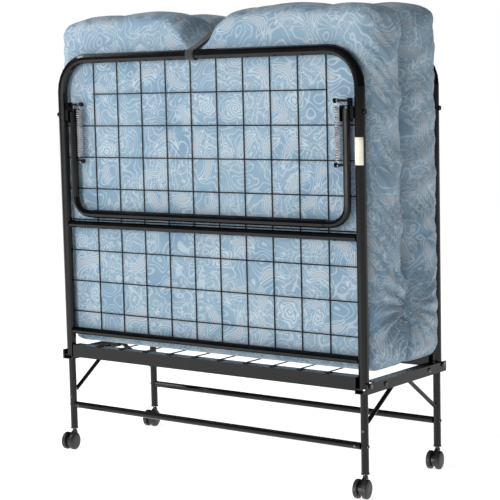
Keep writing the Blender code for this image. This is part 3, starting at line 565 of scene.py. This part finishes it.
for side in sides:
    for hand in ("left", "right"):
        swing = joints[f"{side}_spring_swing_{hand}"]
        pin = Vector(swing["pos_m"])
        name = f"{side}_leg_spring_{hand}"
        coil = bake(name, coil_tree,
                    {"Coil Length": spring_length - 2 * hook_run, "Coil Radius": 0.0083,
                     "Turns": 21.0, "Wire Radius": spring_wire},
                    f"{side}_spring_{hand}",
                    Matrix.Translation(pin - Vector((0, 0, spring_length - hook_run))))
        bm = bmesh.new()
        bm.from_mesh(coil.data)
        start = len(bm.verts)
        hook_curve(bm, 0.0, 1, 0.0048)
        hook_curve(bm, -spring_length, -1, 0.0048)
        bm.verts.ensure_lookup_table()
        for v in bm.verts[start:]:
            v.co += pin
        bmesh.ops.recalc_face_normals(bm, faces=bm.faces[:])
        bm.to_mesh(coil.data)
        bm.free()
        smooth(coil, 60)
        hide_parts(f"{side}_spring_{hand}")
        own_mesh(coil)

# ---------------------------------------------------------------- casters
# Twin-wheel furniture casters, moulded in black nylon, with a plated stem pushed into a plastic
# socket in each leg.
nylon = Finish("caster_nylon")
place = nylon.coords()
grain = nylon.noise(place, 600.0, 3.0)
mottle = nylon.noise(place, 30.0, 2.0)
nylon.feed(Base_Color=nylon.blend(mottle.ramp(0.3, 0.7), (0.010, 0.010, 0.011),
                                  (0.018, 0.018, 0.020)),
           Roughness=mottle * 0.15 + 0.28, Normal=nylon.bump(grain, 0.00015, 0.35))
tread = Finish("caster_tread")
place = tread.coords()
scrape = tread.noise(place, 90.0, 4.0, 0.65)
tread.feed(Base_Color=tread.blend(scrape.ramp(0.35, 0.75), (0.012, 0.012, 0.013),
                                  (0.035, 0.034, 0.033)),
           Roughness=scrape * 0.25 + 0.33,
           Normal=tread.bump(tread.noise(place, 500.0, 3.0), 0.0002, 0.4))
for corner in corners:
    coat(nylon, f"caster_body_{corner}", f"caster_socket_{corner}")
    coat(tread, f"caster_wheels_{corner}")

# A plated sleeve shows on each stem, between the caster's collar and the socket.
plated = Finish("plated_stem", Metallic=1.0)
place = plated.coords()
streak = plated.noise(place, 120.0, 2.0)
plated.feed(Base_Color=plated.blend(streak.ramp(0.3, 0.7), (0.62, 0.62, 0.63), (0.80, 0.80, 0.80)),
            Roughness=streak * 0.15 + 0.14,
            Normal=plated.bump(plated.noise(place, 900.0), 0.0001, 0.25))
for corner in corners:
    post = Vector(joints[f"caster_swivel_{corner}"]["pos_m"])
    socket_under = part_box(f"caster_socket_{corner}")[0][2]
    bm = bmesh.new()
    rings = []
    for z, r in ((-0.0040, 0.0042), (-0.0037, 0.0047), (-0.0030, 0.0050), (-0.0022, 0.0045),
                 (-0.0006, 0.0045), (-0.0003, 0.0042)):
        rings.append([bm.verts.new((post.x + r * math.cos(math.radians(22.5 * k)),
                                    post.y + r * math.sin(math.radians(22.5 * k)),
                                    socket_under + z))
                      for k in range(16)])
    for a, b in zip(rings, rings[1:]):
        for k in range(16):
            n = (k + 1) % 16
            bm.faces.new((a[k], a[n], b[n], b[k]))
    bm.faces.new(list(reversed(rings[0])))
    bm.faces.new(rings[-1])
    mesh = bpy.data.meshes.new(f"stem_sleeve_{corner}")
    bm.to_mesh(mesh)
    bm.free()
    mesh.materials.append(plated.material)
    sleeve = bpy.data.objects.new(f"stem_sleeve_{corner}", mesh)
    scene.collection.objects.link(sleeve)
    smooth(sleeve, 40)
    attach(sleeve, f"caster_{corner}")

# ---------------------------------------------------------------- mattress
# One foam mattress in light blue damask ticking, folded in a U between the decks. The foam is
# pinched to a valley where the strap pulls over the top, and gathers where it bends below.
ticking = Finish("ticking_damask", Sheen_Weight=0.15, Sheen_Roughness=0.4)
flat_map = ticking.node("ShaderNodeUVMap", uv_map="cloth")


def warped(amount, scale, detail=1.0):
    """The cloth's own map, pushed about so that lines on it curl."""
    push = ticking.node("ShaderNodeTexNoise", {"Vector": flat_map, "Scale": scale,
                                               "Detail": detail}, output="Color")
    push = ticking.node("ShaderNodeVectorMath", [push, (0.5, 0.5, 0.5)], operation="SUBTRACT")
    push = ticking.node("ShaderNodeVectorMath", [push, (amount, amount, 0.0)],
                        operation="MULTIPLY")
    return ticking.node("ShaderNodeVectorMath", [flat_map, push], operation="ADD")


curled = warped(0.045, 11.0)
tight = warped(0.020, 30.0)


def motifs(pushed, scale):
    """One spot in each of many cells: its luck, and the way from it across and up."""
    cell = ticking.node("ShaderNodeTexVoronoi", {"Vector": pushed, "Scale": scale,
                                                 "Randomness": 0.85},
                        voronoi_dimensions="2D", output="Distance")
    luck = ticking.node("ShaderNodeSeparateColor", [cell.part("Color")], output=0)
    arm = ticking.node("ShaderNodeVectorMath", [pushed, cell.part("Position")],
                       operation="SUBTRACT")
    x = ticking.node("ShaderNodeSeparateXYZ", [arm], output=0)
    return luck, luck.part("Green"), arm, x, x.part("Y")


# Bent leaves, each with a cream heart and two echo lines round it.
spin, chance, arm, x, y = motifs(curled, 13.0)
turn_cos = (spin * 6.28).maths("COSINE")
turn_sin = (spin * 6.28).maths("SINE")
along = x * turn_cos + y * turn_sin
bend = y * turn_cos - x * turn_sin - along * along * 15.0
leaf = along * along * 1300.0 + bend * bend * 24000.0
has_leaf = chance.ramp(0.40, 0.42)
cream = leaf.ramp(1.0, 0.7) * has_leaf
rims = leaf.ramp(1.1, 1.4) * leaf.ramp(2.6, 2.2) + leaf.ramp(4.0, 4.6) * leaf.ramp(7.0, 6.2) * 0.7
off_leaf = 1.0 - leaf.ramp(3.2, 2.6) * has_leaf
# Scrollwork: contour lines of a soft field, dense in some places and faint in others.
field = ticking.noise(curled, 15.0, 0.8, 0.45)
scroll = abs((field * 34.0).maths("SINE")).ramp(0.46, 0.18)
small_field = ticking.noise(tight, 33.0, 1.0, 0.45)
curls = abs((small_field * 22.0).maths("SINE")).ramp(0.42, 0.16)
crowded = ticking.noise(flat_map, 9.0, 1.5).ramp(0.40, 0.56)
# Roses, one in a few cells, with wavering rings of petals.
tint, pick, arm, x, y = motifs(curled, 8.0)
angle = ticking.node("ShaderNodeMath", [y, x], operation="ARCTAN2")
radius = ticking.node("ShaderNodeVectorMath", [arm], operation="LENGTH", output="Value")
lobes = (angle * 5.0 + tint * 6.28 + radius * 190.0).maths("SINE")
bloom = radius * 1000.0 / (24.0 + tint * 8.0 + lobes * 3.2)
picked = pick.ramp(0.24, 0.22)
petals = abs((bloom * 11.0 + small_field * 7.0).maths("SINE")).ramp(0.35, 0.75)
rose = bloom.ramp(1.0, 0.92) * petals * picked
clear = 1.0 - bloom.ramp(1.16, 1.02) * picked
drawn = (scroll * 0.75).maths("MAXIMUM", curls * crowded) * off_leaf
drawn = drawn.maths("MAXIMUM", rims * has_leaf)
motif = rose.maths("MAXIMUM", drawn * clear)
fibre = ticking.noise(flat_map, 1400.0, 2.0)
twill = ticking.node("ShaderNodeTexWave", {"Vector": flat_map, "Scale": 240.0},
                     wave_type="BANDS", bands_direction="DIAGONAL")
shade = ticking.noise(flat_map, 3.5, 3.0)
ground = ticking.blend(shade.ramp(0.3, 0.7), (0.142, 0.245, 0.345), (0.200, 0.310, 0.400))
ground = ticking.blend(crowded * 0.40, ground, (0.255, 0.350, 0.425))
cloth = ticking.blend(cream * clear * 0.65, ground, (0.410, 0.420, 0.445))
cloth = ticking.blend(motif * 0.75, cloth, (0.450, 0.520, 0.565))
cloth = ticking.blend(fibre.ramp(0.3, 0.7) * 0.14, cloth, (0.16, 0.23, 0.31))
relief = motif * 0.6 + cream * 0.4 + twill * 0.12 + fibre * 0.2
ticking.feed(Base_Color=cloth, Roughness=0.60 - motif * 0.14 + fibre * 0.08,
             Normal=ticking.bump(relief, 0.0006, 0.7))

low, high = (Vector(c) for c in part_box("mattress_front"))
wide = (high.x - low.x) / 2
top_at = high.z
face_out = middle.y - low.y                 # outer face, from the middle of the cot
rest_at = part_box("mattress_middle")[0][2] + 0.0003
strap_low, strap_high = (Vector(c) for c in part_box("front_strap"))
strap_x = (strap_low.x + strap_high.x) / 2 - middle.x
strap_top = strap_high.z
crease_low = pivot_z + 0.150
voxel = 0.0075


def smoothstep(values, low, high):
    t = np.clip((values - low) / (high - low), 0, 1)
    return t * t * (3 - 2 * t)


def slab(name, size_low, size_high, cell_size, round_by):
    """A rounded closed block as an even skin of small quads."""
    bm = bmesh.new()
    bmesh.ops.create_cube(bm, size=1.0)
    for v in bm.verts:
        for i in range(3):
            v.co[i] = size_low[i] if v.co[i] < 0 else size_high[i]
    mesh = bpy.data.meshes.new(name)
    bm.to_mesh(mesh)
    bm.free()
    block = bpy.data.objects.new(name, mesh)
    scene.collection.objects.link(block)
    if round_by:
        soft = block.modifiers.new("round", "BEVEL")
        soft.width = round_by
        soft.segments = 5
    skin_mod = block.modifiers.new("skin", "REMESH")
    skin_mod.mode = "VOXEL"
    skin_mod.voxel_size = cell_size
    graph = bpy.context.evaluated_depsgraph_get()
    made = bpy.data.meshes.new_from_object(block.evaluated_get(graph), depsgraph=graph)
    block.modifiers.clear()
    block.data = made
    made.name = name
    return block


def vertex_array(mesh):
    co = np.empty(len(mesh.vertices) * 3)
    mesh.vertices.foreach_get("co", co)
    return co.reshape(-1, 3)


def put_vertices(mesh, co):
    mesh.vertices.foreach_set("co", co.ravel())
    mesh.update()


def cloth_map(mesh, offset):
    """Lay the ticking flat on the faces by the way each one looks."""
    co = vertex_array(mesh)
    layer = mesh.uv_layers.new(name="cloth")
    count = len(mesh.polygons)
    nor = np.empty(count * 3)
    mesh.polygons.foreach_get("normal", nor)
    nor = np.abs(nor.reshape(-1, 3))
    total = np.empty(count, dtype=np.int32)
    mesh.polygons.foreach_get("loop_total", total)
    way = np.repeat(np.argmax(nor, axis=1), total)
    loops = np.empty(len(mesh.loops), dtype=np.int32)
    mesh.loops.foreach_get("vertex_index", loops)
    p = co[loops]
    u = np.where(way == 0, p[:, 1] + 3.0 + np.sign(p[:, 0]) * 2.0, p[:, 0])
    v = np.where(way == 2, p[:, 1] + 1.7, p[:, 2])
    uv = np.stack([u + offset, v + offset * 0.7], axis=1)
    layer.data.foreach_set("uv", uv.astype(np.float32).ravel())


end_middle = 0.076          # the middle of a half's end face, out from the crease
front_bulge = 0.014         # how far an end face swells and is drawn in
rear_bulge = 0.024
crease_reach = 0.030        # the crease's hollow begins this far out
crease_depth = 0.014        # and draws the end face in by this much
tuck_depth = 0.0022
gather_depth = 0.0100
gather_count = 17.0         # folds of the fan for each radian round the crease's foot


def shape_half(mesh, sign):
    """Crown, valley, crease and gathers of one half, as moves of its skin."""
    co = vertex_array(mesh)
    x = co[:, 0] - middle.x
    y = (co[:, 1] - middle.y) * sign          # 0 at the crease, positive outward
    z = co[:, 2]
    # Below the crease the two halves are one: the inner edge is brought out square again.
    pull = np.clip((np.abs(x) - (wide - 0.032)) / 0.032, 0, 1)
    grow = (1 - smoothstep(z, crease_low, crease_low + 0.05)) * smoothstep(y, 0.030, 0.0) * pull
    x = x + np.sign(x) * np.clip(wide - 0.0005 - np.abs(x), 0, None) * grow
    # Above it the side edges pull in toward the crease, and each end face swells between them.
    above = smoothstep(z, crease_low, crease_low + 0.085)
    swell = np.clip(1 - ((y - end_middle) / end_middle) ** 2, 0, 1)
    near_side = smoothstep(np.abs(x), wide - 0.05, wide - 0.005)
    bulge = front_bulge if sign < 0 else rear_bulge
    x = x - np.sign(x) * near_side * (0.6 - swell) * bulge * above
    x = x - np.sign(x) * near_side * smoothstep(y, crease_reach, 0.002) * crease_depth * above
    # The bottom corner outside is a round.
    round_by = 0.040
    corner_y = face_out - round_by
    corner_z = rest_at + round_by
    dy = np.clip(y - corner_y, 0, None)
    dz = np.clip(corner_z - z, 0, None)
    length = np.sqrt(dy ** 2 + dz ** 2) + 1e-9
    inside = (dy > 0) & (dz > 0)
    scale = np.where(inside, np.maximum(dy, dz) / length, 1.0)
    y = np.where(inside, corner_y + dy * scale, y)
    z = np.where(inside, corner_z - dz * scale, z)
    # The strap's valley across the top, steep beside the strap and long beyond it.
    dist = np.abs(x - strap_x)
    from_top = np.clip((z - (top_at - 0.20)) / 0.20, 0, 1)
    under_strap = top_at - strap_top + 0.0060
    depth = under_strap + 0.0445 * np.clip((y - 0.072) / 0.094, 0, None)
    steep = np.exp(-np.clip(dist - 0.012, 0, None) ** 2 / (2 * 0.034 ** 2))
    long_slope = np.exp(-np.clip(dist - 0.012, 0, None) / 0.09)
    z = z - depth * (steep * 0.86 + long_slope * 0.14) * from_top ** 2
    # Puckers run away from the strap.
    pucker = np.sin(dist * 150.0 + y * 40.0) * np.exp(-((dist - 0.060) / 0.035) ** 2)
    z = z + pucker * 0.0018 * from_top ** 2
    # Soft humps along the top, so that its edge isn't ruled, and ends that fall away.
    wave = 0.0030 * np.sin(x * 15.0 + 1.3 * sign) + 0.0020 * np.sin(x * 29.0 + 0.7)
    z = z + (wave * (1 - np.exp(-dist ** 2 / 0.01)) - 0.003) * from_top ** 2
    fall = smoothstep(np.abs(x), wide - 0.12, wide)
    z = z - 0.012 * fall ** 2 * from_top ** 2
    # Slanting tucks on the end faces, deeper away from the crease, and slow waves that fade there.
    slant = z * 0.8 + y * sign
    tucks = tuck_depth * np.sin(slant * 210.0 + 2.0 * np.sin(z * 19.0))
    tucks = tucks * (0.35 + 0.65 * smoothstep(y, 0.02, 0.10))
    coarse = 0.0030 * np.sin(z * 41.0 + y * 30.0) + 0.0018 * np.sin(z * 83.0 - y * 41.0 + 1.0)
    coarse = coarse * (1 - 0.7 * smoothstep(y, 0.08, 0.14))
    x = x + np.sign(x) * near_side * (tucks + coarse) * above
    # Gathers that fan out from the bottom of the crease.
    ry = y - 0.006
    rz = z - (crease_low + 0.012)
    fan = np.arctan2(rz, ry)
    far = np.sqrt(ry ** 2 + rz ** 2)
    tuck = np.sin(fan * gather_count + 0.8 * sign + 9.0 * far) * np.exp(-((far - 0.060) / 0.052) ** 2)
    x = x + np.sign(x) * near_side * tuck * gather_depth
    co[:, 0] = x + middle.x
    co[:, 1] = y * sign + middle.y
    co[:, 2] = z
    put_vertices(mesh, co)


def settle(piece, sign):
    """Cloth that fills out and wrinkles over the foam, held where decks and strap press on it."""
    start_at = vertex_array(piece.data)
    x = start_at[:, 0] - middle.x
    y = (start_at[:, 1] - middle.y) * sign
    z = start_at[:, 2]
    pressed = np.maximum(smoothstep(y, 0.014, 0.004),
                         smoothstep(y, face_out - 0.012, face_out - 0.004))
    pressed = pressed * smoothstep(wide - np.abs(x), 0.004, 0.024)
    belt = np.exp(-((x - strap_x) / 0.045) ** 2) * smoothstep(z, top_at - 0.15, top_at - 0.06)
    under = smoothstep(z, rest_at + 0.012, rest_at + 0.004)
    pressed = np.clip(np.maximum.reduce([pressed, belt, under]), 0, 1)
    group = piece.vertex_groups.new(name="pressed")
    for index, weight in enumerate(pressed):
        group.add([index], float(weight), "REPLACE")
    cover = piece.modifiers.new("cover", "CLOTH")
    cover.settings.quality = 4
    cover.settings.mass = 0.15
    cover.settings.tension_stiffness = 12
    cover.settings.compression_stiffness = 12
    cover.settings.shear_stiffness = 4
    cover.settings.bending_stiffness = 0.3
    cover.settings.vertex_group_mass = group.name
    cover.settings.use_pressure = True
    cover.settings.uniform_pressure_force = 4
    cover.settings.shrink_min = -0.025
    cover.settings.effector_weights.gravity = 0
    cover.collision_settings.use_collision = False
    for step in range(1, 17):
        scene.frame_set(step)
    graph = bpy.context.evaluated_depsgraph_get()
    filled = piece.evaluated_get(graph)
    moved = vertex_array(filled.data) - start_at
    piece.modifiers.remove(cover)
    piece.vertex_groups.remove(group)
    far = np.linalg.norm(moved, axis=1, keepdims=True) + 1e-9
    put_vertices(piece.data, start_at + moved * np.minimum(1, settle_limit / far))
    scene.frame_set(1)


settle_limit = 0.010        # the cover never moves further than this


def finish_cloth(piece, offset):
    cloth_map(piece.data, offset)
    piece.data.materials.clear()
    piece.data.materials.append(ticking.material)
    piece.data.shade_smooth()


def relax(mesh, rounds):
    """Even the skin out a little."""
    bm = bmesh.new()
    bm.from_mesh(mesh)
    for _ in range(rounds):
        bmesh.ops.smooth_vert(bm, verts=bm.verts[:], factor=0.5, use_axis_x=True,
                              use_axis_y=True, use_axis_z=True)
    bm.to_mesh(mesh)
    bm.free()


for side, sign in (("front", -1), ("rear", 1)):
    inner = middle.y + sign * 0.0008
    outer = middle.y + sign * face_out
    skin = slab(f"mattress_skin_{side}",
                (middle.x - wide, min(inner, outer), rest_at),
                (middle.x + wide, max(inner, outer), top_at), voxel, 0.030)
    relax(skin.data, 2)
    shape_half(skin.data, sign)
    settle(skin, sign)
    finish_cloth(skin, 0.31 if sign < 0 else 1.13)
    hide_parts(f"mattress_{side}")
    start = (middle.x, middle.y, pivot_z + 0.100)
    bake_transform(skin)

core = slab("mattress_core_middle",
            (middle.x - wide + 0.014, middle.y - 0.138, rest_at + 0.010),
            (middle.x + wide - 0.014, middle.y + 0.138, pivot_z + 0.118), 0.012, 0.02)
finish_cloth(core, 2.0)
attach(core, "base")
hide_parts("mattress_middle")

# ---------------------------------------------------------------- strap
# Black polyester webbing, 25 mm wide, taken round each deck's top bar and pulled across the
# valley, so that it holds the folded cot shut.
webbing = Finish("webbing_black", Sheen_Weight=0.3)
place = webbing.node("ShaderNodeUVMap", uv_map="run")
rib = webbing.node("ShaderNodeTexWave", {"Vector": place, "Scale": 160.0, "Distortion": 0.4},
                   wave_type="BANDS", bands_direction="Y")
thread = webbing.node("ShaderNodeTexWave", {"Vector": place, "Scale": 110.0},
                      wave_type="BANDS", bands_direction="X")
fuzz = webbing.noise(place, 900.0, 2.0)
webbing.feed(Base_Color=webbing.blend(rib * 0.6 + fuzz * 0.3, (0.004, 0.004, 0.0045),
                                      (0.018, 0.018, 0.019)),
             Roughness=fuzz * 0.2 + 0.62,
             Normal=webbing.bump(rib * 0.6 + thread * 0.4, 0.0003, 0.6))


def strap_piece(name, path, body):
    """A flat woven band along a path in Y and Z."""
    half = 0.0123
    thick = 0.0016
    bm = bmesh.new()
    layer = bm.loops.layers.uv.new("run")
    across_at = [-1.0, -0.93, -0.5, 0.0, 0.5, 0.93, 1.0]
    rims = [0.3, 1.0, 0.92, 0.92, 0.92, 1.0, 0.3]
    rows = []
    travelled = 0.0
    spots = {}
    for i, point in enumerate(path):
        run = (path[min(i + 1, len(path) - 1)] - path[max(i - 1, 0)]).normalized()
        up = Vector((0, -run.z, run.y))
        if body.startswith("rear"):
            up = -up
        if i:
            travelled += (point - path[i - 1]).length
        ring = []
        for t, rim in zip(across_at, rims):
            ring.append(point + Vector((t * half, 0, 0)) + up * thick * (0.5 + rim / 2))
        for t, rim in zip(reversed(across_at), reversed(rims)):
            ring.append(point + Vector((t * half, 0, 0)) + up * thick * (0.5 - rim / 2))
        made = []
        for k, co in enumerate(ring):
            v = bm.verts.new(co)
            spots[v] = (co.x, travelled)
            made.append(v)
        rows.append(made)
    for a, b in zip(rows, rows[1:]):
        count = len(a)
        for k in range(count):
            n = (k + 1) % count
            bm.faces.new((a[k], a[n], b[n], b[k]))
    bm.faces.new(rows[0])
    bm.faces.new(rows[-1])
    bmesh.ops.recalc_face_normals(bm, faces=bm.faces[:])
    for f in bm.faces:
        for loop in f.loops:
            loop[layer].uv = spots[loop.vert]
    mesh = bpy.data.meshes.new(name)
    bm.to_mesh(mesh)
    bm.free()
    mesh.materials.append(webbing.material)
    piece = bpy.data.objects.new(name, mesh)
    scene.collection.objects.link(piece)
    smooth(piece, 50)
    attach(piece, body)
    return piece


bar_r = 0.0127
bar_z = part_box("front_deck_frame")[1][2] - bar_r
for side in sides:
    outward = -1 if side == "front" else 1
    bar_y = middle.y + outward * deck_half_gap
    ring = bar_r + 0.0004
    path = []
    for k in range(20):
        # From the mattress side, under the bar, round its outside and over the top.
        a = math.radians(-20 - 12.0 * k)
        path.append(Vector((middle.x + strap_x, bar_y - outward * ring * math.cos(a),
                            bar_z + ring * math.sin(a))))
    lift = Vector((middle.x + strap_x, middle.y + outward * 0.074, strap_top - 0.0025))
    last = path[-1]
    for k in range(1, 9):
        t = k / 9
        sag = -0.0025 * math.sin(math.pi * t)
        path.append(last.lerp(lift, t) + Vector((0, 0, sag)))
    for k in range(8):
        t = k / 7
        path.append(Vector((lift.x, middle.y + outward * (0.074 * (1 - t) + 0.0006 * t),
                            lift.z + 0.0015 * math.sin(math.pi * t / 2))))
    piece = strap_piece(f"strap_webbing_{side}", path, f"{side}_deck")
    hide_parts(f"{side}_strap")

# ---------------------------------------------------------------- plain sticker
# A blank cream paper sticker, wrapped half round the right rail of the front deck.
paper = Finish("sticker_paper")
place = paper.coords()
age = paper.noise(place, 80.0, 3.0)
paper.feed(Base_Color=paper.blend(age.ramp(0.3, 0.7), (0.70, 0.66, 0.55), (0.82, 0.79, 0.70)),
           Roughness=age * 0.2 + 0.45, Normal=paper.bump(age, 0.0001, 0.3))
rail_x = middle.x + 0.469
rail_y = front_pivot.y
bm = bmesh.new()
rows = []
for j in range(8):
    z = pivot_z + 0.515 + 0.064 * j / 7
    row = []
    for k in range(13):
        a = math.radians(-150 + 10.5 * k)
        row.append(bm.verts.new((rail_x + 0.0130 * math.cos(a), rail_y + 0.0130 * math.sin(a), z)))
    rows.append(row)
for a, b in zip(rows, rows[1:]):
    for k in range(12):
        bm.faces.new((a[k], a[k + 1], b[k + 1], b[k]))
mesh = bpy.data.meshes.new("rail_sticker")
bm.to_mesh(mesh)
bm.free()
mesh.materials.append(paper.material)
sticker = bpy.data.objects.new("rail_sticker", mesh)
scene.collection.objects.link(sticker)
thick = sticker.modifiers.new("paper", "SOLIDIFY")
thick.thickness = 0.00025
thick.offset = -1.0
sticker.data.shade_smooth()
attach(sticker, "front_deck")

# ---------------------------------------------------------------- floor finish
stage_paint = Finish("studio_paper", Base_Color=(0.90, 0.90, 0.90, 1.0), Roughness=0.9,
                     Emission_Color=(1.0, 1.0, 1.0, 1.0), Emission_Strength=0.75)
place = stage_paint.coords()
stage_paint.feed(Roughness=stage_paint.noise(place, 3.0) * 0.1 + 0.85)
floor_mesh.materials.append(stage_paint.material)
